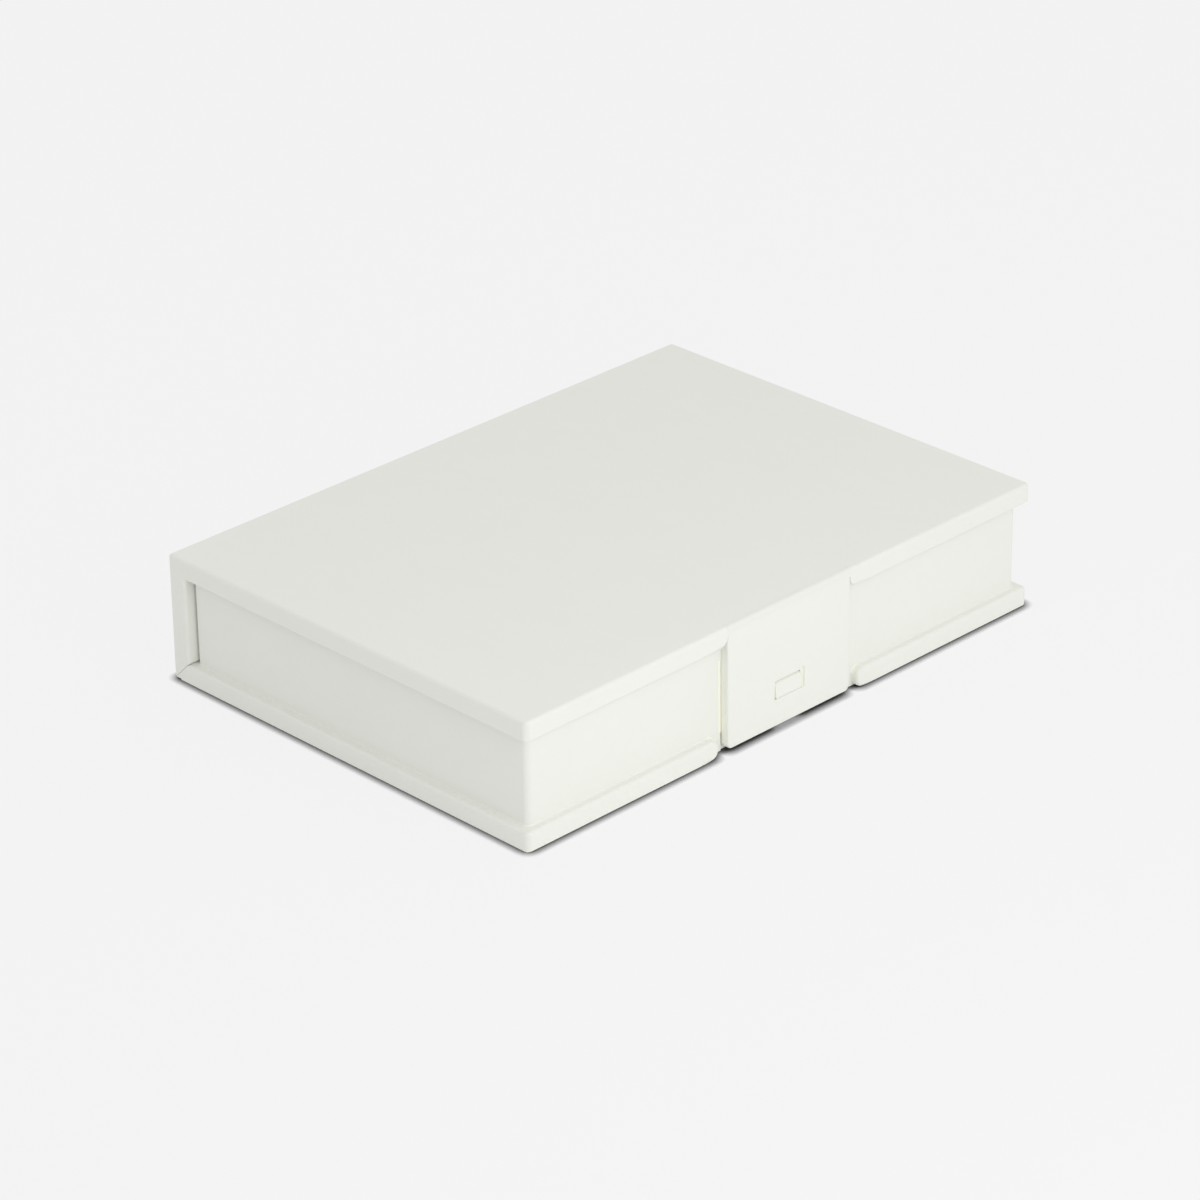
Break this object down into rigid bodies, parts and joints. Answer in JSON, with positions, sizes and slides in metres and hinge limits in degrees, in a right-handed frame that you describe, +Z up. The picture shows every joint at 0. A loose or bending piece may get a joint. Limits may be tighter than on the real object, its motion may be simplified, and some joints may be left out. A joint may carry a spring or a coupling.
{
  "type": "hard drive case",
  "caption": "Flat book-style plastic case for a bare 3.5-inch hard drive, with a lid and spine on a living hinge and a front latch flap.",
  "frame": {"origin": "middle of the base's underside, on the surface that the closed case lies on", "axes": "+X along the long sides, -Y out of the side with the latch flap, +Y out of the spine, +Z up through the lid"},
  "size_m": [0.178, 0.1274, 0.0346],
  "materials": {
    "tray_plastic": "fine satin polypropylene, ivory white",
    "lid_plastic": "fine satin polypropylene, ivory white",
    "flap_plastic": "fine satin polypropylene, ivory white",
    "film_plastic": "thin flexed polypropylene film, ivory white",
    "foam": "fine closed-cell foam, dark grey"
  },
  "bodies": {
    "tray": {"base_tray": "tray_plastic", "floor_pad_left": "foam", "floor_pad_right": "foam", "spine_hinge_film": "film_plastic"},
    "lid": {"lid_and_spine": "lid_plastic", "lid_pad_left": "foam", "lid_pad_right": "foam", "latch_hinge_film": "film_plastic"},
    "latch": {"latch_flap": "flap_plastic"}
  },
  "joints": [
    {"name": "lid_hinge", "type": "hinge", "parent": "tray", "child": "lid", "pos_m": [0, 0.06325, 0.0005], "axis": [-1, 0, 0], "range_deg": [0, 90], "deforming": ["spine_hinge_film"]},
    {"name": "latch_hinge", "type": "hinge", "parent": "lid", "child": "latch", "pos_m": [0, -0.06325, 0.0341], "axis": [-1, 0, 0], "range_deg": [0, 180], "deforming": ["latch_hinge_film"]}
  ]
}
